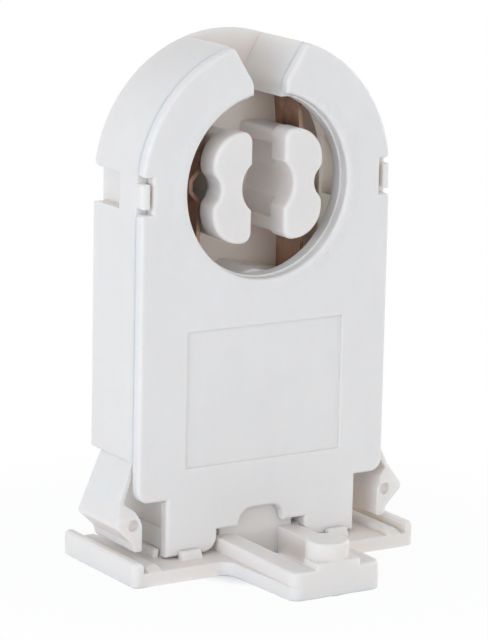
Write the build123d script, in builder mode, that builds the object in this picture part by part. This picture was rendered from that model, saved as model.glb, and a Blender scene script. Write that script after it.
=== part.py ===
from build123d import *
import os

os.makedirs("parts", exist_ok=True)

# Fluorescent tube lamp holder, all sizes in millimetres.
# X runs across the face, Y goes from the lamp face back into the body, Z is up from the base underside.
# The origin is on that underside, halfway through the depth of the body.

# Body and face
axis_height = 32.25
face_radius = 12.2
head_rise = 0.15
body_depth = 8.35
side_wall = 1.0
rear_wall = 0.95
cavity_floor_height = 5.2
column_half_width = 9.4
housing_shoulder_height = 9.7
rear_edge_radius = 0.5
column_recess = 0.2
column_step_height = 3.7

# Front cover
cover_thickness = 1.0
cover_shoulder_height = 6.3
cover_corner_radius = 1.1
cover_edge_radius = 0.3
foot_height = 1.35
foot_inner_half_width = 4.4
foot_inner_height = 3.2
foot_corner_radius = 1.3
arch_half_width = 2.2
arch_height = 4.65
arch_corner_radius = 1.2
label_width = 15.4
label_height = 11.7
label_drop = 17.55
label_depth = 0.2

# Lamp bore and pin entry slot
bore_radius = 7.7
collar_wall = 1.1
collar_depth = 2.1
bore_ledge = 0.15
slot_width = 3.15
slot_throat_rise = 8.7
slot_mouth_half_width = 3.95
slot_mouth_radius = 0.45
slot_throat_radius = 1.6
slot_liner_wall = 1.0
slot_liner_rise = 7.3

# Split centre post
post_reach = 5.35
post_half_height = 4.7
post_gap = 3.2
post_head_thickness = 2.3
post_outer_radius = 2.7
post_inner_radius = 0.9
post_hollow_radius = 2.5
post_edge_radius = 0.35
pin_notch_radius = 1.5
pin_notch_centre = 6.1
pin_notch_mouth_radius = 1.2
stem_reach = 4.25
stem_half_height = 4.35
stem_rail_height = 1.15
stem_rail_step = 0.5
stem_pocket_height = 1.8
stem_pocket_depth = 0.6
stem_edge_radius = 0.4

# Side hooks that hold the cover
hook_notch_height = 3.0
hook_notch_depth = 1.1
hook_notch_start = 3.8
hook_pad_margin = 1.0
cover_notch_height = 3.05
cover_notch_depth = 1.05
cover_notch_radius = 0.35
hook_tab_height = 2.1
hook_tab_thickness = 0.7
hook_tab_radius = 0.35
hook_tab_nose_radius = 0.45
hook_upper_radius = 1.2
hook_lower_radius = 0.8

# Snap barbs, with their reach measured out from the side of the body
barb_root_height = 9.85
barb_root_inset = 0.2
barb_rear = 6.5
barb_thickness = 0.7
barb_flare = 2.1
barb_corner_height = 4.6
barb_ankle_height = 3.1
barb_ankle_flare = 0.55
barb_tip_height = 2.3
barb_tip_flare = 0.3
barb_tip_width = 0.7
barb_knee_flare = 0.9
barb_knee_height = 6.3
barb_heel_flare = 0.1
barb_heel_height = 5.7
barb_foot_height = 4.6
barb_arm_foot = 6.6
barb_front_slope_foot = 5.2
barb_front_setback = 1.25
barb_arm_lean = 0.25
barb_crease_radius = 0.4
barb_edge_radius = 0.15
barb_dimple_radius = 0.5
barb_dimple_height = 4.6
barb_dimple_flare = 0.4
barb_dimple_depth = 0.35
fit_clearance = 0.15

# Base plate
base_half_width = 14.0
base_front = 2.6
base_rear = 9.4
base_thickness = 1.2
base_front_radius = 0.6
base_rear_radius = 0.3
base_edge_chamfer = 0.1
lip_width = 0.9
lip_height = 2.1
lip_edge_chamfer = 0.2
rib_width = 1.3
rib_height = 1.65
rib_gap = 0.5
rib_slope = 0.9
rib_edge_radius = 0.35
foot_rib_gap = 0.1
foot_rib_width = 0.55
foot_rib_height = 1.95
nib_offset = 7.35
nib_width = 1.95
nib_depth = 0.75
nib_height = 1.9
nib_slope = 0.3

# Front tongue with its locating button
tongue_half_width = 4.35
tongue_length = 11.9
tongue_height = 2.4
tongue_step = 0.1
tongue_flare = 0.55
tongue_window_half_width = 2.3
tongue_end_wall = 2.0
tongue_root_radius = 1.2
tongue_corner_radius = 1.0
tongue_edge_radius = 0.25
pad_half_width = 2.1
pad_height = 2.95
button_radius = 1.8
button_height = 4.4
button_edge_chamfer = 0.15

# Contacts
contact_thickness = 0.35
contact_front = 2.8
contact_width = 3.7
contact_offset = 5.15
contact_lean = 0.55
contact_top_rise = 6.9
kink_reach = 0.9
kink_half_height = 1.35
kink_flat = 0.45
kink_radius = 0.35
kink_lean = 0.1
clamp_height = 10.6
clamp_bend_radius = 0.45
clamp_tongue_top = 15.6
clamp_tongue_reach = 1.55
clamp_slit = 0.5
clamp_slit_height = 11.6

# Wire entries and the ribs that hold the contacts
entry_radius = 1.1
entry_offset = 6.7
entry_pitch = 2.6
entry_lead_in = 0.15
anchor_height = 21.0
anchor_length = 3.0
anchor_rib_width = 1.0
anchor_clearance = 0.1
partition_width = 1.2
partition_height = 22.5
roof_height = 24.85
roof_fall = 0.95
roof_reach = 4.75
roof_thickness = 1.0
wire_rest_height = 16.0
wire_rest_gap = 0.65
well_depth = 1.0
well_width = 0.8

match_tolerance = 0.01
lamp_face = -body_depth / 2
cavity_depth = body_depth - rear_wall
slot_half_width = slot_width / 2
contact_rear = contact_front + contact_width
wire_row = contact_front + contact_width / 2
head_centre = axis_height + head_rise
head_top = head_centre + face_radius
barb_span = face_radius + barb_flare + fit_clearance
rib_offset = base_half_width - lip_width - rib_gap - rib_width / 2


def depth_plane(depth):
    """Plane that faces the lamp at a depth behind the lamp face; its local Y is straight up."""
    return Plane.XZ.offset(-lamp_face - depth)


def plan_plane(height):
    """Level plane at a height above the base underside; its local Y is the depth behind the lamp face."""
    return Plane((0, lamp_face, height))


def side_plane(offset):
    """Upright plane across X; its local X is the depth behind the lamp face and its local Y is up."""
    return Plane((offset, lamp_face, 0), x_dir=(0, 1, 0), z_dir=(1, 0, 0))


def head_and_sides(radius, bottom):
    """Round head on straight sides, from the bottom height up, added to the active sketch."""
    with Locations((0, head_centre)):
        Circle(radius)
    with Locations((0, bottom)):
        Rectangle(2 * radius, head_centre - bottom, align=(Align.CENTER, Align.MIN))


def lower_column(half_width, bottom, top):
    """Narrower column below the shoulders, added to the active sketch."""
    with Locations((0, bottom)):
        Rectangle(2 * half_width, top - bottom, align=(Align.CENTER, Align.MIN))


def slot_funnel(widening, bottom_rise, mode):
    """Straight throat that flares to the mouth at the top of the head."""
    throat = slot_half_width + widening
    mouth = slot_mouth_half_width + widening
    flare_foot = axis_height + slot_throat_rise
    Polygon(
        (-mouth, head_top),
        (-throat, flare_foot),
        (-throat, axis_height + bottom_rise),
        (throat, axis_height + bottom_rise),
        (throat, flare_foot),
        (mouth, head_top),
        align=None,
        mode=mode,
    )


def throat_corners(sketch):
    """Corners where the straight throat turns into the flare."""
    flare_foot = axis_height + slot_throat_rise
    return sketch.vertices().filter_by(lambda v: abs(v.Y - flare_foot) < match_tolerance)


def mouth_corners(sketch):
    """Corners where the flare meets the round of the head."""
    highest = sketch.vertices().sort_by(Axis.Y)[-1].Y
    return sketch.vertices().filter_by(lambda v: abs(v.Y - highest) < match_tolerance)


def both_sides(x, z):
    """The same place on the right and on the left of the face."""
    return Locations((x, z), (-x, z))


# Front cover: flat face, bore collar, shoulders and two feet
with BuildPart() as front_cover:
    with BuildSketch(depth_plane(cover_thickness)) as face:
        head_and_sides(face_radius, cover_shoulder_height)
        shoulder_corners = face.vertices().group_by(Axis.Y)[0]
        fillet(shoulder_corners, cover_corner_radius)
        lower_column(column_half_width, foot_height, cover_shoulder_height + cover_corner_radius)
        with Locations((0, foot_height)):
            Rectangle(
                2 * foot_inner_half_width,
                foot_inner_height - foot_height,
                align=(Align.CENTER, Align.MIN),
                mode=Mode.SUBTRACT,
            )
        foot_corners = face.vertices().group_by(Axis.Y)[0].filter_by(
            lambda v: abs(v.X) < foot_inner_half_width + match_tolerance
        )
        fillet(foot_corners, foot_corner_radius)
        with Locations((0, foot_inner_height)):
            Rectangle(
                2 * arch_half_width,
                arch_height - foot_inner_height,
                align=(Align.CENTER, Align.MIN),
                mode=Mode.SUBTRACT,
            )
        arch_corners = face.vertices().filter_by(lambda v: abs(v.Y - arch_height) < match_tolerance)
        fillet(arch_corners, arch_corner_radius)
        with both_sides(face_radius, axis_height):
            Rectangle(2 * cover_notch_depth, cover_notch_height, mode=Mode.SUBTRACT)
        notch_lips = face.vertices().filter_by(
            lambda v: abs(abs(v.Y - axis_height) - cover_notch_height / 2) < match_tolerance
            and abs(v.X) > face_radius - cover_notch_depth / 2
        )
        fillet(notch_lips, cover_notch_radius)
        slot_funnel(0, 0, Mode.SUBTRACT)
        with Locations((0, axis_height)):
            Circle(bore_radius + bore_ledge, mode=Mode.SUBTRACT)
        fillet(throat_corners(face), slot_throat_radius)
        fillet(mouth_corners(face), slot_mouth_radius)
    extrude(amount=cover_thickness)
    with BuildSketch(depth_plane(collar_depth)):
        with Locations((0, axis_height)):
            Circle(bore_radius + collar_wall)
            Circle(bore_radius, mode=Mode.SUBTRACT)
        with Locations((0, axis_height)):
            Rectangle(
                slot_width + 2 * (slot_liner_wall + fit_clearance),
                bore_radius + 2 * collar_wall,
                align=(Align.CENTER, Align.MIN),
                mode=Mode.SUBTRACT,
            )
    extrude(amount=collar_depth - cover_thickness)
    # Keepers that hold the contacts back in their ribs
    with BuildSketch(depth_plane(contact_front - anchor_clearance)):
        with both_sides(contact_offset, anchor_height):
            Rectangle(2 * anchor_rib_width, anchor_length)
    extrude(amount=contact_front - anchor_clearance - cover_thickness)
    front_edges = front_cover.faces().sort_by(Axis.Y)[0].outer_wire().edges()
    fillet(front_edges, cover_edge_radius)
    with BuildSketch(depth_plane(label_depth)):
        with Locations((0, axis_height - label_drop)):
            RectangleRounded(label_width, label_height, label_depth)
    extrude(amount=label_depth, mode=Mode.SUBTRACT)
front_cover.part.label = "front_cover"
export_step(front_cover.part, "parts/front_cover.step")

# Housing: body shell, slot liner, split post, hooks, barbs, base and tongue in one moulding
with BuildPart() as housing:
    # Outer form of the body
    with BuildSketch(depth_plane(body_depth)):
        head_and_sides(face_radius, housing_shoulder_height)
        lower_column(column_half_width, 0, column_step_height)
        lower_column(column_half_width - column_recess, 0, housing_shoulder_height)
    extrude(amount=body_depth - cover_thickness)
    rear_edges = housing.faces().sort_by(Axis.Y)[-1].outer_wire().edges().filter_by(
        lambda e: e.bounding_box().min.Z > housing_shoulder_height - match_tolerance
    )
    fillet(rear_edges, rear_edge_radius)
    # Cavity, open to the cover
    with BuildSketch(depth_plane(cavity_depth)):
        head_and_sides(face_radius - side_wall, housing_shoulder_height + side_wall)
        lower_column(column_half_width - side_wall, cavity_floor_height, housing_shoulder_height + side_wall)
    extrude(amount=cavity_depth - cover_thickness, mode=Mode.SUBTRACT)
    # Liner of the pin slot, from the rear wall to the cover, between the ends of the collar
    with BuildSketch(depth_plane(cavity_depth)) as liner:
        with Locations((0, head_centre)):
            Circle(face_radius - side_wall / 2)
        slot_funnel(slot_liner_wall, slot_liner_rise, Mode.INTERSECT)
    extrude(amount=cavity_depth - cover_thickness)
    with BuildSketch(depth_plane(cavity_depth)) as passage:
        with Locations((0, axis_height)):
            Circle(2 * face_radius)
        slot_funnel(0, 0, Mode.INTERSECT)
        fillet(throat_corners(passage), slot_throat_radius)
    extrude(amount=cavity_depth - cover_thickness, mode=Mode.SUBTRACT)

    # Split post: two notched heads on stems that spring from the rear wall
    with BuildSketch(depth_plane(post_head_thickness)) as heads:
        with Locations((post_gap / 2, axis_height)):
            Rectangle(post_reach - post_gap / 2, 2 * post_half_height, align=(Align.MIN, Align.CENTER))
        outer_corners = heads.vertices().group_by(Axis.X)[-1]
        fillet(outer_corners, post_outer_radius)
        inner_corners = heads.vertices().group_by(Axis.X)[0]
        fillet(inner_corners, post_inner_radius)
        with Locations((0, axis_height)):
            Circle(post_hollow_radius, mode=Mode.SUBTRACT)
        with Locations((pin_notch_centre, axis_height)):
            Circle(pin_notch_radius, mode=Mode.SUBTRACT)
        notch_mouth = heads.vertices().filter_by(
            lambda v: abs(v.X - post_reach) < match_tolerance and abs(v.Y - axis_height) < pin_notch_radius
        )
        fillet(notch_mouth, pin_notch_mouth_radius)
        mirror(about=Plane.YZ)
    extrude(amount=post_head_thickness)
    head_rims = housing.faces().sort_by(Axis.Y).filter_by(Axis.Y)[0:2].edges()
    fillet(head_rims, post_edge_radius)
    with BuildSketch(depth_plane(cavity_depth)) as stems:
        with Locations((post_gap / 2, axis_height)):
            Rectangle(stem_reach - post_gap / 2, 2 * stem_half_height, align=(Align.MIN, Align.CENTER))
        with Locations((post_gap / 2, axis_height)):
            Rectangle(
                2 * stem_rail_step,
                2 * (stem_half_height - stem_rail_height),
                mode=Mode.SUBTRACT,
            )
        with Locations((0, axis_height)):
            Circle(post_hollow_radius, mode=Mode.SUBTRACT)
        with Locations((stem_reach, axis_height)):
            Rectangle(2 * stem_pocket_depth, stem_pocket_height, mode=Mode.SUBTRACT)
        rail_corners = stems.vertices().filter_by(
            lambda v: abs(abs(v.Y - axis_height) - stem_half_height) < match_tolerance
        )
        fillet(rail_corners, stem_edge_radius)
        mirror(about=Plane.YZ)
    extrude(amount=cavity_depth - post_head_thickness)

    # Side notches, the pads that keep the wall behind them, and the tabs that hold the cover
    with BuildSketch(depth_plane(cavity_depth)):
        with both_sides(face_radius - side_wall / 2, axis_height):
            Rectangle(2 * hook_notch_depth + side_wall, hook_notch_height + 2 * hook_pad_margin)
        with Locations((0, head_centre)):
            Circle(face_radius - side_wall / 2, mode=Mode.INTERSECT)
    extrude(amount=cavity_depth - hook_notch_start + hook_pad_margin)
    notch_half = hook_notch_height / 2
    for side in (-1, 1):
        with BuildSketch(side_plane(side * (face_radius - hook_notch_depth))):
            with Locations((hook_notch_start, axis_height)):
                Rectangle(body_depth, hook_notch_height, align=(Align.MIN, Align.CENTER))
            for radius, turn in ((hook_upper_radius, 1), (hook_lower_radius, -1)):
                corner_height = axis_height + turn * (notch_half + radius / 2)
                with Locations((body_depth - radius / 2, corner_height)):
                    Rectangle(radius, radius)
                with Locations((body_depth - radius, axis_height + turn * (notch_half + radius))):
                    Circle(radius, mode=Mode.SUBTRACT)
        extrude(amount=side * 2 * hook_notch_depth, mode=Mode.SUBTRACT)
    with BuildSketch(depth_plane(cover_thickness)):
        with both_sides(face_radius - hook_tab_thickness / 2, axis_height):
            RectangleRounded(hook_tab_thickness, hook_tab_height, hook_tab_radius / 2)
    extrude(amount=cover_thickness)
    with BuildSketch(plan_plane(axis_height - hook_tab_height / 2)):
        with both_sides(face_radius - hook_tab_nose_radius / 2, hook_tab_nose_radius / 2):
            Rectangle(hook_tab_nose_radius, hook_tab_nose_radius)
        with both_sides(face_radius - hook_tab_nose_radius, hook_tab_nose_radius):
            Circle(hook_tab_nose_radius, mode=Mode.SUBTRACT)
    extrude(amount=hook_tab_height, mode=Mode.SUBTRACT)

    # Snap barbs that hang from the shoulders
    with BuildSketch(depth_plane(barb_rear)) as barbs:
        Polygon(
            (face_radius - barb_thickness - side_wall, barb_root_height),
            (face_radius - barb_root_inset, barb_root_height),
            (face_radius + barb_flare, barb_corner_height),
            (face_radius + barb_ankle_flare, barb_ankle_height),
            (face_radius + barb_tip_flare, barb_tip_height),
            (face_radius + barb_tip_flare - barb_tip_width, barb_tip_height),
            (face_radius + barb_tip_flare - barb_tip_width, barb_foot_height),
            (face_radius + barb_heel_flare, barb_heel_height),
            (face_radius + barb_knee_flare, barb_knee_height),
            (face_radius - barb_thickness, housing_shoulder_height),
            (face_radius - barb_thickness - side_wall, housing_shoulder_height),
            align=None,
        )
        fillet(barbs.vertices().group_by(Axis.X)[-1], barb_crease_radius)
        fillet(barbs.vertices().group_by(Axis.Y)[0], barb_edge_radius)
        mirror(about=Plane.YZ)
    extrude(amount=barb_rear)
    with BuildSketch(side_plane(-barb_span)):
        Polygon(
            (-fit_clearance, barb_front_slope_foot),
            (0, barb_front_slope_foot),
            (barb_front_setback - barb_arm_lean, barb_arm_foot),
            (barb_front_setback, housing_shoulder_height),
            (-fit_clearance, housing_shoulder_height),
            align=None,
        )
    extrude(amount=2 * barb_span, mode=Mode.SUBTRACT)
    with BuildSketch(depth_plane(cover_thickness)):
        with Locations((0, cover_shoulder_height - fit_clearance)):
            Rectangle(
                2 * (face_radius + fit_clearance),
                housing_shoulder_height - cover_shoulder_height + 2 * fit_clearance,
                align=(Align.CENTER, Align.MIN),
            )
    extrude(amount=cover_thickness, mode=Mode.SUBTRACT)
    with BuildSketch(depth_plane(barb_dimple_depth)):
        with both_sides(face_radius + barb_dimple_flare, barb_dimple_height):
            Circle(barb_dimple_radius)
    extrude(amount=barb_dimple_depth, mode=Mode.SUBTRACT)

    # Base plate with the tongue, its window, the end pad and the locating button
    with BuildSketch(plan_plane(0)) as plate:
        with Locations((0, -base_front)):
            Rectangle(2 * base_half_width, base_front + base_rear, align=(Align.CENTER, Align.MIN))
        fillet(plate.vertices().group_by(Axis.Y)[0], base_front_radius)
        fillet(plate.vertices().group_by(Axis.Y)[-1], base_rear_radius)
        tongue_root = tongue_half_width + tongue_flare
        Polygon(
            (-tongue_root, -base_front),
            (-tongue_half_width, -tongue_length),
            (tongue_half_width, -tongue_length),
            (tongue_root, -base_front),
            (tongue_root, 0),
            (-tongue_root, 0),
            align=None,
        )
        root_corners = plate.vertices().filter_by(
            lambda v: abs(v.Y + base_front) < match_tolerance and abs(v.X) < tongue_root + match_tolerance
        )
        fillet(root_corners, tongue_root_radius)
        fillet(plate.vertices().group_by(Axis.Y)[0], tongue_corner_radius)
    extrude(amount=base_thickness)
    underside_edges = housing.edges().group_by(Axis.Z)[0]
    chamfer(underside_edges, base_edge_chamfer)
    with BuildSketch(plan_plane(base_thickness)) as tongue:
        with Locations((0, cover_thickness)):
            Rectangle(
                2 * tongue_half_width, tongue_length + cover_thickness, align=(Align.CENTER, Align.MAX)
            )
        fillet(tongue.vertices().group_by(Axis.Y)[0], tongue_corner_radius)
        Polygon(
            (tongue_half_width, tongue_end_wall - tongue_length),
            (tongue_half_width, cover_thickness),
            (tongue_half_width - tongue_step, cover_thickness),
            align=None,
            mode=Mode.SUBTRACT,
        )
        Polygon(
            (-tongue_half_width, tongue_end_wall - tongue_length),
            (-tongue_half_width, cover_thickness),
            (tongue_step - tongue_half_width, cover_thickness),
            align=None,
            mode=Mode.SUBTRACT,
        )
    extrude(amount=tongue_height - base_thickness)
    tongue_edges = housing.edges().filter_by(
        lambda e: abs(e.center().Z - tongue_height) < match_tolerance and e.center().Y < lamp_face
    )
    fillet(tongue_edges, tongue_edge_radius)
    with BuildSketch(plan_plane(0)):
        with Locations((0, cover_thickness)):
            Rectangle(
                2 * tongue_window_half_width,
                tongue_length - tongue_end_wall + cover_thickness,
                align=(Align.CENTER, Align.MAX),
            )
    extrude(amount=tongue_height, mode=Mode.SUBTRACT)
    with BuildSketch(plan_plane(base_thickness)):
        with Locations((0, -tongue_length)):
            Rectangle(2 * pad_half_width, tongue_end_wall, align=(Align.CENTER, Align.MIN))
    extrude(amount=pad_height - base_thickness)
    with BuildSketch(plan_plane(0)):
        with Locations((0, button_radius - tongue_length)):
            Circle(button_radius)
    extrude(amount=button_height)
    button_rim = housing.edges().filter_by(lambda e: abs(e.center().Z - button_height) < match_tolerance)
    chamfer(button_rim.filter_by(lambda e: e.center().Y < lamp_face), button_edge_chamfer)
    # Wells in the body wall under the cover, beside the tongue window
    with BuildSketch(depth_plane(cover_thickness + well_depth)):
        with both_sides(foot_inner_half_width - well_width / 2, (tongue_height + foot_inner_height) / 2):
            Rectangle(well_width, foot_inner_height - tongue_height)
    extrude(amount=well_depth, mode=Mode.SUBTRACT)

    # Lips and ribs on the plate, and the nibs in front of the cover's feet
    with BuildSketch(plan_plane(base_thickness)) as lips:
        with Locations((0, -base_front)):
            Rectangle(2 * base_half_width, base_front + base_rear, align=(Align.CENTER, Align.MIN))
        fillet(lips.vertices().group_by(Axis.Y)[0], base_front_radius)
        fillet(lips.vertices().group_by(Axis.Y)[-1], base_rear_radius)
        with Locations((0, -base_front)):
            Rectangle(
                2 * (base_half_width - lip_width),
                base_front + base_rear,
                align=(Align.CENTER, Align.MIN),
                mode=Mode.SUBTRACT,
            )
    extrude(amount=lip_height - base_thickness)
    lip_edges = housing.edges().filter_by(
        lambda e: abs(e.center().Z - lip_height) < match_tolerance
        and abs(e.center().X) > base_half_width - lip_width - match_tolerance
    )
    chamfer(lip_edges, lip_edge_chamfer)
    for side in (-1, 1):
        with BuildSketch(side_plane(side * rib_offset - rib_width / 2)):
            Polygon(
                (-base_front, base_thickness),
                (rib_slope - base_front, rib_height),
                (base_rear - rib_slope, rib_height),
                (base_rear, base_thickness),
                align=None,
            )
        extrude(amount=rib_width)
        with BuildSketch(side_plane(side * nib_offset - nib_width / 2)):
            Polygon(
                (-fit_clearance, base_thickness),
                (-fit_clearance, nib_height),
                (nib_slope - nib_depth - fit_clearance, nib_height),
                (-nib_depth - fit_clearance, base_thickness),
                align=None,
            )
        extrude(amount=nib_width)
    rib_edges = housing.edges().filter_by(Axis.Y).filter_by(
        lambda e: abs(e.center().Z - rib_height) < match_tolerance
        and abs(abs(e.center().X) - rib_offset) < rib_width
    )
    fillet(rib_edges, rib_edge_radius)
    with BuildSketch(plan_plane(base_thickness)):
        foot_rib_offset = column_half_width + foot_rib_gap + foot_rib_width / 2
        with both_sides(foot_rib_offset, (cover_thickness + body_depth) / 2):
            RectangleRounded(foot_rib_width, body_depth - cover_thickness, foot_rib_width / 3)
    extrude(amount=foot_rib_height - base_thickness)

    # Ribs that hold the contacts, the insulating partition and the rests behind the wires
    with BuildSketch(depth_plane(cavity_depth)):
        with both_sides(contact_offset, anchor_height):
            Rectangle(
                2 * anchor_rib_width + contact_thickness + 2 * anchor_clearance, anchor_length
            )
        with both_sides(contact_offset, anchor_height):
            Rectangle(contact_thickness + 2 * anchor_clearance, anchor_length, mode=Mode.SUBTRACT)
    extrude(amount=cavity_depth - contact_front)
    with BuildSketch(depth_plane(cavity_depth)):
        with both_sides(contact_offset, anchor_height):
            Rectangle(contact_thickness + 2 * anchor_clearance, anchor_length)
    extrude(amount=cavity_depth - contact_rear)
    with BuildSketch(depth_plane(cavity_depth)):
        with Locations((0, cavity_floor_height)):
            Rectangle(
                partition_width,
                partition_height - cavity_floor_height,
                align=(Align.CENTER, Align.MIN),
            )
        rest_inner = entry_offset + wire_rest_gap
        rest_width = column_half_width - side_wall - rest_inner
        with both_sides(rest_inner + rest_width / 2, (cavity_floor_height + wire_rest_height) / 2):
            Rectangle(rest_width, wire_rest_height - cavity_floor_height)
    extrude(amount=cavity_depth - cover_thickness - fit_clearance)
    # Roof over the wire space, which falls away to both contacts behind the collar
    with BuildSketch(depth_plane(cavity_depth)):
        Polygon(
            (0, roof_height),
            (roof_reach, roof_height - roof_fall),
            (roof_reach, roof_height - roof_fall - roof_thickness),
            (0, roof_height - roof_thickness),
            (-roof_reach, roof_height - roof_fall - roof_thickness),
            (-roof_reach, roof_height - roof_fall),
            align=None,
        )
        with Locations((0, partition_height)):
            Rectangle(
                partition_width,
                roof_height - roof_thickness - partition_height,
                align=(Align.CENTER, Align.MIN),
            )
    extrude(amount=cavity_depth - collar_depth - fit_clearance)

    # Push-in wire entries through the base
    entry_rows = [wire_row - entry_pitch / 2, wire_row + entry_pitch / 2]
    entries = [(side * entry_offset, row) for side in (-1, 1) for row in entry_rows]
    with BuildSketch(plan_plane(0)):
        with Locations(*entries):
            Circle(entry_radius)
    extrude(amount=cavity_floor_height, mode=Mode.SUBTRACT)
    entry_rims = housing.edges().filter_by(GeomType.CIRCLE).filter_by(
        lambda e: abs(e.center().Z) < match_tolerance and abs(e.radius - entry_radius) < match_tolerance
    )
    chamfer(entry_rims, entry_lead_in)
housing.part.label = "housing"
export_step(housing.part, "parts/housing.step")


def blade_points(side):
    """Centreline of one blade from its free top, round the kink that the pin presses on, to the clamp."""
    points = [
        (contact_offset - contact_lean, contact_top_rise),
        (contact_offset - kink_lean, kink_half_height),
        (contact_offset - kink_lean + kink_reach, kink_flat),
        (contact_offset - kink_lean + kink_reach, -kink_flat),
        (contact_offset, -kink_half_height),
        (contact_offset, clamp_height - axis_height),
    ]
    return [(side * x, axis_height + rise) for x, rise in points]


def build_contact(side):
    """One bronze strip: blade with its pin kink, anchored shank, and a slit push-in tongue."""
    tongue_start = contact_offset + 2 * clamp_bend_radius
    blade = blade_points(side)
    bend_bottom = (side * (contact_offset + clamp_bend_radius), clamp_height - clamp_bend_radius)
    tongue_foot = (side * tongue_start, clamp_height)
    tongue_tip = (side * (contact_offset + clamp_tongue_reach), clamp_tongue_top)
    with BuildPart() as contact:
        with BuildSketch(depth_plane(contact_rear)):
            with BuildLine():
                FilletPolyline(*blade, radius=kink_radius)
                ThreePointArc(blade[-1], bend_bottom, tongue_foot)
                Line(tongue_foot, tongue_tip)
            trace(line_width=contact_thickness)
        extrude(amount=contact_width)
        with BuildSketch(depth_plane(wire_row + clamp_slit / 2)):
            with Locations((side * (tongue_start + clamp_tongue_reach / 2), clamp_slit_height)):
                Rectangle(
                    clamp_tongue_reach + contact_thickness,
                    clamp_tongue_top - clamp_slit_height + contact_thickness,
                    align=(Align.CENTER, Align.MIN),
                )
        extrude(amount=clamp_slit, mode=Mode.SUBTRACT)
    return contact.part


contact_right = build_contact(1)
contact_left = build_contact(-1)
contact_right.label = "contact_right"
contact_left.label = "contact_left"
export_step(contact_right, "parts/contact_right.step")
export_step(contact_left, "parts/contact_left.step")
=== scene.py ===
"""Looks for the fluorescent tube lamp holder: moulded plastic, bronze contacts and a studio."""

import math

import bpy
import numpy as np
from mathutils import Matrix, Vector

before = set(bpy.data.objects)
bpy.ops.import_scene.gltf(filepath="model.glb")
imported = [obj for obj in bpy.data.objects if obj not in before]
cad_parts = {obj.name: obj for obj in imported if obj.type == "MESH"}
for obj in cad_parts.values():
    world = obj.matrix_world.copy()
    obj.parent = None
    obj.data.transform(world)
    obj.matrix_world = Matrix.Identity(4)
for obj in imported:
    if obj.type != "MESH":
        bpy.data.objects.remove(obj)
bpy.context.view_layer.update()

bl_info = {
    "name": "Tube lamp holder looks",
    "version": (1, 0, 0),
    "blender": (4, 5, 0),
    "location": "View3D > Sidebar > Lamp Holder",
    "description": "Finishes the lamp holder's mouldings and contacts and sets up its studio",
    "category": "Object",
}

IMAGE_LONG_SIDE = 640
MILLIMETRE = 0.001

# The housing's thin side walls: their inner faces lie between these distances from the middle
# plane, and above the bore axis from that axis. Beside the hooks' notches, which are cut in from
# outside, they lie nearer. Their deeper glow keeps off the space's floor, rear wall and slot.
AXIS_HEIGHT = 32.25 * MILLIMETRE
INNER_FACE_START = 9.8 * MILLIMETRE
INNER_FACE_END = 11.5 * MILLIMETRE
INNER_FACE_END_AT_NOTCH = 10.8 * MILLIMETRE
NOTCH_HALF_HEIGHT = 1.8 * MILLIMETRE
CAVITY_FLOOR = 9.5 * MILLIMETRE
CAVITY_REAR = 4.1 * MILLIMETRE
SLOT_SIDE = 4.0 * MILLIMETRE

# The ring round the bore axis in which the cover's rim is wavy where the moulding was trimmed
RIM_START = 7.6 * MILLIMETRE
RIM_END = 9.2 * MILLIMETRE
RIM_MIDDLE = 0.5 * (RIM_START + RIM_END)

# Scales of the patterns, in cycles per metre, and the factor that draws some out along the height
CLOUD_SCALE = 90.0
FLOW_SCALE = 420.0
FLOW_STRETCH = 0.28
DIMPLE_SCALE = 1300.0
SKIN_SCALE = 5200.0
RIM_WAVE_SCALE = 1100.0
ROLLING_SCALE = 9000.0
ROLLING_STRETCH = 0.03
TARNISH_SCALE = 350.0
SPOT_SCALE = 2400.0
PAPER_SCALE = 1500.0

# Depths of the bumps
SKIN_DEPTH = 0.03 * MILLIMETRE
DIMPLE_DEPTH = 0.06 * MILLIMETRE
RIM_WAVE_DEPTH = 0.25 * MILLIMETRE
ROLLING_DEPTH = 0.02 * MILLIMETRE

# Shades of a finish, as factors on its own colour; the edge one is a painted highlight
CLOUD_DARK = 0.975
CLOUD_LIGHT = 1.012
FLOW_DARK = 0.955
EDGE_PAINTED_HIGHLIGHT = 1.05
ROLLING_LIGHT = 1.25
PAPER_DARK = 0.985

# The plastic: the share of the light that wanders inside it, and how far its red, green and blue
# go, as factors on the glow depth
PLASTIC_IOR = 1.52
GLOW_WEIGHT = 0.6
GLOW_COLOUR_DEPTHS = (1.0, 0.76, 0.58)

# How far the normal has turned where an edge begins to get its painted highlight and gloss, and
# where they are full
EDGE_TURN_START = 0.995
EDGE_TURN_END = 0.8
EDGE_SAMPLES = 6

BRONZE_METALLIC = 0.65

# The floor: a disc round a small hub. The camera sees it as the backdrop's white from NEAR_END on,
# and less so near the holder and in the shade below the tongue's window.
FLOOR_HUB = 2.0 * MILLIMETRE
FLOOR_RADIUS = 2.0
FLOOR_RINGS = 40
FLOOR_SPOKES = 96
NEAR_START = 15.0 * MILLIMETRE
NEAR_END = 40.0 * MILLIMETRE
NEAR_WHITE = 0.92
SHADE_MIDDLE = (0.0, -4.3 * MILLIMETRE, 0.0)
SHADE_START = 6.0 * MILLIMETRE
SHADE_END = 8.0 * MILLIMETRE
SHADE_WHITE = 0.1

# The lights: places in metres, and tints
LIGHT_TARGET = (0.0, 0.0, 0.022)
SOFTBOX_SIDE = 0.22
KEY_PLACE = (-0.32, -0.12, 0.03)
KEY_TINT = (0.74, 0.84, 1.0)
RIGHT_PLACE = (0.34, 0.02, 0.04)
RIGHT_TINT = (0.9, 0.945, 1.0)
AMBIENT_TINT = (0.88, 0.94, 1.0, 1.0)
WHITE = (1.0, 1.0, 1.0, 1.0)
CAMERA_CLIP_START = 0.01
CAMERA_CLIP_END = 10.0


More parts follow.
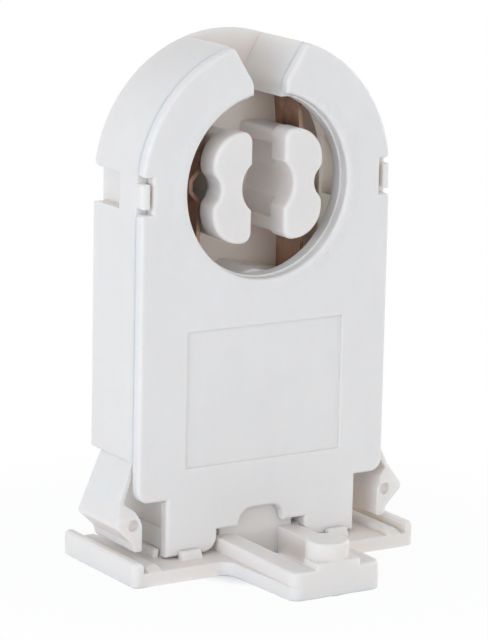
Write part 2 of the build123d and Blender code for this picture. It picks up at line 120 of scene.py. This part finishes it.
class LampHolderFinish(bpy.types.PropertyGroup):
    """Colours and surface values of the mouldings and the contacts."""

    housing_colour: bpy.props.FloatVectorProperty(
        name="Housing colour",
        description="Colour of the white plastic of the housing",
        subtype="COLOR",
        size=3,
        min=0.0,
        max=1.0,
        default=(0.825, 0.768, 0.722),
    )
    cover_colour: bpy.props.FloatVectorProperty(
        name="Cover colour",
        description="Colour of the white plastic of the front cover",
        subtype="COLOR",
        size=3,
        min=0.0,
        max=1.0,
        default=(0.833, 0.787, 0.751),
    )
    plastic_roughness: bpy.props.FloatProperty(
        name="Plastic roughness",
        description="Roughness of the flat moulded faces",
        subtype="FACTOR",
        min=0.0,
        max=1.0,
        default=0.42,
    )
    glow_depth: bpy.props.FloatProperty(
        name="Glow depth",
        description="How far light wanders inside the plastic of the housing",
        unit="LENGTH",
        min=0.0,
        default=1.2 * MILLIMETRE,
    )
    cover_glow_depth: bpy.props.FloatProperty(
        name="Cover glow depth",
        description="How far light wanders inside the denser plastic of the front cover",
        unit="LENGTH",
        min=0.0,
        default=0.4 * MILLIMETRE,
    )
    wall_glow_depth: bpy.props.FloatProperty(
        name="Wall glow depth",
        description="The glow depth on the inner faces of the thin walls that light shines through",
        unit="LENGTH",
        min=0.0,
        default=8.0 * MILLIMETRE,
    )
    edge_radius: bpy.props.FloatProperty(
        name="Edge softness",
        description="Radius of the soft highlight along the moulded edges",
        unit="LENGTH",
        min=0.0,
        default=0.08 * MILLIMETRE,
    )
    bronze_colour: bpy.props.FloatVectorProperty(
        name="Bronze colour",
        description="Colour of the clean rolled strip of the contacts",
        subtype="COLOR",
        size=3,
        min=0.0,
        max=1.0,
        default=(0.46, 0.28, 0.2),
    )
    tarnish_colour: bpy.props.FloatVectorProperty(
        name="Tarnish colour",
        description="Colour of the strip where it has darkened",
        subtype="COLOR",
        size=3,
        min=0.0,
        max=1.0,
        default=(0.2, 0.12, 0.085),
    )


class LampHolderStudio(bpy.types.PropertyGroup):
    """Camera and light of the studio."""

    azimuth: bpy.props.FloatProperty(
        name="Azimuth",
        description="Camera's turn round the holder from straight in front",
        subtype="ANGLE",
        default=math.radians(-32.215),
    )
    elevation: bpy.props.FloatProperty(
        name="Elevation",
        description="Camera's height as an angle above level",
        subtype="ANGLE",
        default=math.radians(12.506),
    )
    roll: bpy.props.FloatProperty(
        name="Roll",
        description="Camera's turn about its own line of sight",
        subtype="ANGLE",
        default=math.radians(1.202),
    )
    distance: bpy.props.FloatProperty(
        name="Distance",
        description="Distance from the camera to the point it looks at",
        unit="LENGTH",
        default=283.92 * MILLIMETRE,
    )
    look_at: bpy.props.FloatVectorProperty(
        name="Look at",
        description="Point at the centre of the image",
        subtype="TRANSLATION",
        size=3,
        default=(-2.216 * MILLIMETRE, -4.175 * MILLIMETRE, 21.096 * MILLIMETRE),
    )
    focal_pixels: bpy.props.FloatProperty(
        name="Focal length in pixels",
        description="Focal length in pixels of an image 640 high",
        default=3399.2,
    )
    key_power: bpy.props.FloatProperty(
        name="Key light",
        description="Power of the soft light on the left",
        unit="POWER",
        default=0.5,
    )
    right_power: bpy.props.FloatProperty(
        name="Right light",
        description="Power of the weaker soft light on the right",
        unit="POWER",
        default=0.3,
    )
    ambient: bpy.props.FloatProperty(
        name="Ambient",
        description="Strength of the even light from in front, the sides and below",
        min=0.0,
        default=1.52,
    )
    overhead: bpy.props.FloatProperty(
        name="Overhead",
        description="Strength of the even light from straight above",
        min=0.0,
        default=0.45,
    )
    rear: bpy.props.FloatProperty(
        name="Rear",
        description="Strength of the even light from straight behind",
        min=0.0,
        default=1.0,
    )
    floor_colour: bpy.props.FloatVectorProperty(
        name="Floor colour",
        description="Colour of the plain floor",
        subtype="COLOR",
        size=3,
        min=0.0,
        max=1.0,
        default=(0.95, 0.95, 0.95),
    )


class Nodes:
    """Short calls that add and link the nodes of one material or of the world."""

    def __init__(self, tree):
        self.tree = tree
        self.made = tree.nodes
        self.made.clear()

    def add(self, kind, inputs=None, **settings):
        """One node; inputs are numbers, colours or output sockets by socket name or index."""
        node = self.made.new(kind)
        for name, value in settings.items():
            setattr(node, name, value)
        for name, value in (inputs or {}).items():
            socket = node.inputs[name]
            if isinstance(value, bpy.types.NodeSocket):
                self.tree.links.new(value, socket)
            else:
                socket.default_value = value
        return node

    def math(self, operation, first, second=0.0):
        """Arithmetic on values or sockets."""
        return self.add("ShaderNodeMath", {0: first, 1: second}, operation=operation).outputs[0]

    def vector(self, operation, first, second=(0.0, 0.0, 0.0)):
        """Arithmetic on vectors or sockets: a difference is a vector, the rest are values."""
        node = self.add("ShaderNodeVectorMath", {0: first, 1: second}, operation=operation)
        return node.outputs["Vector" if operation == "SUBTRACT" else "Value"]

    def scaled(self, vector, factors):
        """The vector times a factor on each axis."""
        return self.add("ShaderNodeMapping", {"Vector": vector, "Scale": factors}).outputs[0]

    def between(self, value, low, high, out_low, out_high):
        """Maps low..high to out_low..out_high and holds it there."""
        limits = {"From Min": low, "From Max": high, "To Min": out_low, "To Max": out_high}
        return self.add("ShaderNodeMapRange", {"Value": value, **limits}).outputs["Result"]

    def noise(self, vector, scale, detail=3.0, roughness=0.5, distortion=0.0):
        """Noise from 0 to 1 with a scale in cycles per metre."""
        look = {"Detail": detail, "Roughness": roughness, "Distortion": distortion}
        return self.add(
            "ShaderNodeTexNoise", {"Vector": vector, "Scale": scale, **look}
        ).outputs["Fac"]

    def blend(self, factor, first, second):
        """Mixes two colours or colour sockets."""
        return self.add(
            "ShaderNodeMix", {0: factor, 6: first, 7: second}, data_type="RGBA"
        ).outputs[2]

    def bump(self, height, strength, depth, normal=None):
        """A normal that follows a height from 0 to 1, on top of another normal if one is given."""
        inputs = {"Strength": strength, "Distance": depth, "Height": height}
        if normal is not None:
            inputs["Normal"] = normal
        return self.add("ShaderNodeBump", inputs).outputs[0]

    def sees_backdrop(self):
        """1 for camera, glossy and transmission rays, which show the backdrop, and else 0."""
        rays = self.add("ShaderNodeLightPath").outputs
        indirect = self.math("MAXIMUM", rays["Is Glossy Ray"], rays["Is Transmission Ray"])
        return self.math("MAXIMUM", rays["Is Camera Ray"], indirect)

    def finish(self, shader):
        """Ends the material in its output."""
        self.add("ShaderNodeOutputMaterial", {"Surface": shader})


def opaque(colour, factor=1.0):
    """The colour times a factor, with full alpha."""
    return tuple(channel * factor for channel in colour) + (1.0,)


def new_material(name):
    """An empty node material and its node helper."""
    material = bpy.data.materials.new(name)
    material.use_nodes = True
    return material, Nodes(material.node_tree)


def wall_glow(nodes, place, glow_depth, wall_glow_depth):
    """Glow depth that is larger where the inner faces of the thin side walls lie."""
    parts = nodes.add("ShaderNodeSeparateXYZ", {"Vector": place}).outputs
    height = nodes.math("SUBTRACT", parts["Z"], AXIS_HEIGHT)
    above = nodes.math("MAXIMUM", height)
    flat = nodes.add("ShaderNodeCombineXYZ", {"X": parts["X"], "Z": above}).outputs[0]
    reach = nodes.vector("LENGTH", flat)
    off_notch = nodes.math("GREATER_THAN", nodes.math("ABSOLUTE", height), NOTCH_HALF_HEIGHT)
    end = nodes.between(off_notch, 0.0, 1.0, INNER_FACE_END_AT_NOTCH, INNER_FACE_END)
    inside = nodes.math("GREATER_THAN", reach, INNER_FACE_START)
    for limit in (
        nodes.math("LESS_THAN", reach, end),
        nodes.math("LESS_THAN", parts["Y"], CAVITY_REAR),
        nodes.math("GREATER_THAN", parts["Z"], CAVITY_FLOOR),
        nodes.math("GREATER_THAN", nodes.math("ABSOLUTE", parts["X"]), SLOT_SIDE),
    ):
        inside = nodes.math("MULTIPLY", inside, limit)
    return nodes.between(inside, 0.0, 1.0, glow_depth, wall_glow_depth)


def rim_waves(nodes, place):
    """Height of the waves round the bore's rim: noise in the face's plane, held to a ring."""
    centred = nodes.vector("SUBTRACT", place, (0.0, 0.0, AXIS_HEIGHT))
    flat = nodes.scaled(centred, (1.0, 0.0, 1.0))
    reach = nodes.vector("LENGTH", flat)
    off_middle = nodes.math("ABSOLUTE", nodes.math("SUBTRACT", reach, RIM_MIDDLE))
    ring = nodes.between(off_middle, 0.0, RIM_MIDDLE - RIM_START, 1.0, 0.0)
    waves = nodes.noise(flat, RIM_WAVE_SCALE, detail=2.0, distortion=0.4)
    return nodes.math("MULTIPLY", ring, waves)


def moulded_plastic(name, colour, finish, glow_depth, wall_glow_depth=None, wavy_rim=False):
    """White moulded plastic: faint flow clouding, a fine eroded skin and soft edges lightened by a
    painted highlight.

    The glow is deeper behind the thin side walls where wall_glow_depth is given, and the rim
    round the bore is wavy where wavy_rim is set.
    """
    material, nodes = new_material(name)
    place = nodes.add("ShaderNodeTexCoord").outputs["Object"]
    cloud = nodes.noise(place, CLOUD_SCALE, detail=4.0, roughness=0.55, distortion=0.6)
    drawn = nodes.scaled(place, (1.0, 1.0, FLOW_STRETCH))
    flow = nodes.noise(drawn, FLOW_SCALE, detail=5.0, roughness=0.6, distortion=1.2)
    skin = nodes.noise(place, SKIN_SCALE, detail=2.0)
    dimple = nodes.noise(place, DIMPLE_SCALE, roughness=0.55)

    soft = nodes.add("ShaderNodeBevel", {"Radius": finish.edge_radius}, samples=EDGE_SAMPLES)
    soft_normal = soft.outputs[0]
    normal = nodes.add("ShaderNodeNewGeometry").outputs["Normal"]
    turned = nodes.vector("DOT_PRODUCT", soft_normal, normal)
    edge = nodes.between(turned, EDGE_TURN_START, EDGE_TURN_END, 0.0, 1.0)

    dark, light = opaque(colour, CLOUD_DARK), opaque(colour, CLOUD_LIGHT)
    clouded = nodes.blend(nodes.between(cloud, 0.3, 0.7, 0.0, 1.0), dark, light)
    streaks = nodes.between(flow, 0.35, 0.72, 0.0, 0.35)
    streaked = nodes.blend(streaks, clouded, opaque(colour, FLOW_DARK))
    # Edges lightened in the base colour: a painted highlight.
    with_edge_highlight = nodes.blend(nodes.math("MULTIPLY", edge, 0.5), streaked, opaque(colour, EDGE_PAINTED_HIGHLIGHT))

    roughness = finish.plastic_roughness
    skin_gloss = nodes.between(dimple, 0.3, 0.7, roughness - 0.06, roughness + 0.05)
    gloss = nodes.math("SUBTRACT", skin_gloss, nodes.math("MULTIPLY", edge, 0.1))

    relief = nodes.bump(skin, 0.22, SKIN_DEPTH, soft_normal)
    relief = nodes.bump(dimple, 0.28, DIMPLE_DEPTH, relief)
    if wavy_rim:
        relief = nodes.bump(rim_waves(nodes, place), 0.7, RIM_WAVE_DEPTH, relief)
    depth = glow_depth
    if wall_glow_depth is not None:
        depth = wall_glow(nodes, place, glow_depth, wall_glow_depth)

    shader = nodes.add(
        "ShaderNodeBsdfPrincipled",
        {
            "Base Color": with_edge_highlight,
            "Roughness": gloss,
            "IOR": PLASTIC_IOR,
            "Subsurface Weight": GLOW_WEIGHT,
            "Subsurface Radius": GLOW_COLOUR_DEPTHS,
            "Subsurface Scale": depth,
            "Normal": relief,
        },
    ).outputs[0]
    nodes.finish(shader)
    return material


def rolled_bronze(name, clean, tarnish):
    """Bronze strip with fine rolling lines along its length, darkened in patches and spots."""
    material, nodes = new_material(name)
    place = nodes.add("ShaderNodeTexCoord").outputs["Object"]
    along = nodes.scaled(place, (1.0, 1.0, ROLLING_STRETCH))
    lines = nodes.noise(along, ROLLING_SCALE, detail=4.0, roughness=0.65)
    patches = nodes.noise(place, TARNISH_SCALE, detail=5.0, roughness=0.6, distortion=1.0)
    spots = nodes.noise(place, SPOT_SCALE, roughness=0.6)

    darkened = nodes.between(patches, 0.35, 0.68, 0.0, 0.85)
    speckled = nodes.math("ADD", darkened, nodes.between(spots, 0.55, 0.75, 0.0, 0.25))
    held = nodes.add("ShaderNodeClamp", {"Value": speckled}).outputs[0]
    worn = nodes.blend(held, opaque(clean), opaque(tarnish))
    streaks = nodes.between(lines, 0.35, 0.7, 0.0, 0.3)
    grained = nodes.blend(streaks, worn, opaque(clean, ROLLING_LIGHT))

    dulled = nodes.between(held, 0.0, 1.0, 0.3, 0.52)
    roughness = nodes.math("ADD", dulled, nodes.between(lines, 0.3, 0.7, -0.05, 0.06))
    shader = nodes.add(
        "ShaderNodeBsdfPrincipled",
        {
            "Base Color": grained,
            "Metallic": BRONZE_METALLIC,
            "Roughness": roughness,
            "Normal": nodes.bump(lines, 0.25, ROLLING_DEPTH),
        },
    ).outputs[0]
    nodes.finish(shader)
    return material


def dress(node_name, material):
    """Puts one material on a CAD node."""
    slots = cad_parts[node_name].data.materials
    slots.clear()
    slots.append(material)


class LAMPHOLDER_OT_housing(bpy.types.Operator):
    """Finish the housing moulding"""

    bl_idname = "lamp_holder.housing"
    bl_label = "Housing"
    bl_options = {"REGISTER", "UNDO"}

    def execute(self, context):
        finish = context.scene.lamp_holder_finish
        plastic = moulded_plastic(
            "housing_plastic",
            finish.housing_colour,
            finish,
            finish.glow_depth,
            wall_glow_depth=finish.wall_glow_depth,
        )
        dress("housing", plastic)
        return {"FINISHED"}


class LAMPHOLDER_OT_front_cover(bpy.types.Operator):
    """Finish the front cover moulding"""

    bl_idname = "lamp_holder.front_cover"
    bl_label = "Front cover"
    bl_options = {"REGISTER", "UNDO"}

    def execute(self, context):
        finish = context.scene.lamp_holder_finish
        plastic = moulded_plastic(
            "cover_plastic", finish.cover_colour, finish, finish.cover_glow_depth, wavy_rim=True
        )
        dress("front_cover", plastic)
        return {"FINISHED"}


class LAMPHOLDER_OT_contacts(bpy.types.Operator):
    """Finish the two bronze contacts"""

    bl_idname = "lamp_holder.contacts"
    bl_label = "Contacts"
    bl_options = {"REGISTER", "UNDO"}

    def execute(self, context):
        finish = context.scene.lamp_holder_finish
        bronze = rolled_bronze("contact_bronze", finish.bronze_colour, finish.tarnish_colour)
        for side in ("left", "right"):
            dress(f"contact_{side}", bronze)
        return {"FINISHED"}


def camera_axes(azimuth, elevation, roll):
    """Right, up and backward directions of a camera turned, raised and rolled by those angles."""
    level = np.array([math.cos(azimuth), math.sin(azimuth), 0.0])
    back = math.cos(elevation) * np.array([math.sin(azimuth), -math.cos(azimuth), 0.0])
    back[2] = math.sin(elevation)
    upright = np.cross(back, level)
    right = level * math.cos(roll) + upright * math.sin(roll)
    up = upright * math.cos(roll) - level * math.sin(roll)
    return right, up, back


def add_camera(studio):
    """The photograph's camera: its place, turn and focal length."""
    right, up, back = camera_axes(studio.azimuth, studio.elevation, studio.roll)
    turn = np.eye(4)
    turn[:3, 0], turn[:3, 1], turn[:3, 2] = right, up, back
    turn[:3, 3] = np.array(studio.look_at) + back * studio.distance
    data = bpy.data.cameras.new("camera")
    data.lens = data.sensor_width * studio.focal_pixels / IMAGE_LONG_SIDE
    data.clip_start = CAMERA_CLIP_START
    data.clip_end = CAMERA_CLIP_END
    camera = bpy.data.objects.new("camera", data)
    camera.matrix_world = Matrix(turn.tolist())
    bpy.context.scene.collection.objects.link(camera)
    bpy.context.scene.camera = camera


def add_softbox(name, place, power, tint):
    """A square area light that faces the holder."""
    data = bpy.data.lights.new(name, "AREA")
    data.size, data.energy, data.color = SOFTBOX_SIDE, power, tint
    light = bpy.data.objects.new(name, data)
    facing = (Vector(LIGHT_TARGET) - Vector(place)).to_track_quat("-Z", "Y")
    light.matrix_world = Matrix.Translation(place) @ facing.to_matrix().to_4x4()
    bpy.context.scene.collection.objects.link(light)


def disc(hub, radius, rings, spokes):
    """Vertices and faces of a flat disc: x = r cos t, y = r sin t on a grid of r and t.

    Quads join the rings from the hub outwards, and one polygon fills the hub.
    """
    r = np.linspace(hub, radius, rings)[:, None]
    t = np.linspace(0.0, 2.0 * np.pi, spokes, endpoint=False)[None, :]
    grid = np.stack([r * np.cos(t), r * np.sin(t), np.zeros((rings, spokes))], axis=-1)
    ring, spoke = np.meshgrid(np.arange(rings - 1), np.arange(spokes), indexing="ij")
    following = (spoke + 1) % spokes
    inner, outer = ring * spokes, (ring + 1) * spokes
    corners = [inner + spoke, outer + spoke, outer + following, inner + following]
    quads = np.stack(corners, axis=-1).reshape(-1, 4)
    return grid.reshape(-1, 3), quads.tolist() + [list(range(spokes))]


def floor_paper(colour):
    """Pale paper that shows the holder's shadow and turns into the backdrop's white."""
    material, nodes = new_material("floor_paper")
    place = nodes.add("ShaderNodeTexCoord").outputs["Object"]
    off_shade = nodes.vector("DISTANCE", place, SHADE_MIDDLE)
    shade = nodes.between(off_shade, SHADE_START, SHADE_END, SHADE_WHITE, 1.0)
    reach = nodes.vector("LENGTH", place)
    near = nodes.between(reach, NEAR_START, NEAR_END, NEAR_WHITE, 1.0)
    fade = nodes.math("MULTIPLY", nodes.math("MULTIPLY", nodes.sees_backdrop(), shade), near)
    grain = nodes.between(nodes.noise(place, PAPER_SCALE), 0.3, 0.7, 0.0, 1.0)
    paper = nodes.blend(grain, opaque(colour, PAPER_DARK), opaque(colour))
    lit = nodes.add("ShaderNodeBsdfDiffuse", {"Color": paper}).outputs[0]
    white = nodes.add("ShaderNodeEmission", {"Color": WHITE, "Strength": 1.0}).outputs[0]
    nodes.finish(nodes.add("ShaderNodeMixShader", {0: fade, 1: lit, 2: white}).outputs[0])
    return material


def add_floor(colour):
    """A round pale floor under the holder."""
    points, faces = disc(FLOOR_HUB, FLOOR_RADIUS, FLOOR_RINGS, FLOOR_SPOKES)
    mesh = bpy.data.meshes.new("floor")
    mesh.from_pydata(points.tolist(), [], faces)
    mesh.materials.append(floor_paper(colour))
    floor = bpy.data.objects.new("floor", mesh)
    bpy.context.scene.collection.objects.link(floor)


def set_world(studio):
    """Even light, weaker from above and behind, that the camera sees as plain white."""
    world = bpy.data.worlds.new("studio")
    bpy.context.scene.world = world
    world.use_nodes = True
    nodes = Nodes(world.node_tree)
    seen = nodes.sees_backdrop()
    direction = nodes.add("ShaderNodeTexCoord").outputs["Generated"]
    parts = nodes.add("ShaderNodeSeparateXYZ", {"Vector": direction}).outputs
    level = nodes.between(parts["Y"], 0.0, 1.0, studio.ambient, studio.rear)
    graded = nodes.between(parts["Z"], 0.0, 1.0, level, studio.overhead)
    mixed = nodes.add("ShaderNodeMix", {"Factor": seen, "A": graded, "B": 1.0})
    strength = mixed.outputs["Result"]
    tint = nodes.blend(seen, AMBIENT_TINT, WHITE)
    light = nodes.add("ShaderNodeBackground", {"Color": tint, "Strength": strength}).outputs[0]
    nodes.add("ShaderNodeOutputWorld", {"Surface": light})


class LAMPHOLDER_OT_stage(bpy.types.Operator):
    """Set up the floor, the lights and the camera"""

    bl_idname = "lamp_holder.stage"
    bl_label = "Studio"
    bl_options = {"REGISTER", "UNDO"}

    def execute(self, context):
        studio = context.scene.lamp_holder_studio
        add_floor(studio.floor_colour)
        add_softbox("key", KEY_PLACE, studio.key_power, KEY_TINT)
        add_softbox("right", RIGHT_PLACE, studio.right_power, RIGHT_TINT)
        set_world(studio)
        add_camera(studio)
        context.scene.view_settings.view_transform = "Standard"
        return {"FINISHED"}


class LAMPHOLDER_PT_panel(bpy.types.Panel):
    """Sidebar panel with the finishes, the studio and the steps"""

    bl_idname = "LAMPHOLDER_PT_panel"
    bl_label = "Lamp Holder"
    bl_space_type = "VIEW_3D"
    bl_region_type = "UI"
    bl_category = "Lamp Holder"

    def draw(self, context):
        layout = self.layout
        for group in (context.scene.lamp_holder_finish, context.scene.lamp_holder_studio):
            box = layout.box()
            for name in group.__annotations__:
                box.prop(group, name)
        for step in STEPS:
            layout.operator(step.bl_idname)


STEPS = (
    LAMPHOLDER_OT_housing,
    LAMPHOLDER_OT_front_cover,
    LAMPHOLDER_OT_contacts,
    LAMPHOLDER_OT_stage,
)
CLASSES = (LampHolderFinish, LampHolderStudio, *STEPS, LAMPHOLDER_PT_panel)


def register():
    """Registers the classes and hangs the property groups on the scene."""
    for part in CLASSES:
        bpy.utils.register_class(part)
    bpy.types.Scene.lamp_holder_finish = bpy.props.PointerProperty(type=LampHolderFinish)
    bpy.types.Scene.lamp_holder_studio = bpy.props.PointerProperty(type=LampHolderStudio)


def unregister():
    """Takes the properties and classes away again."""
    del bpy.types.Scene.lamp_holder_studio
    del bpy.types.Scene.lamp_holder_finish
    for part in reversed(CLASSES):
        bpy.utils.unregister_class(part)


def main():
    """Runs every step in order."""
    register()
    bpy.ops.lamp_holder.housing()
    bpy.ops.lamp_holder.front_cover()
    bpy.ops.lamp_holder.contacts()
    bpy.ops.lamp_holder.stage()


if __name__ == "__main__":
    main()
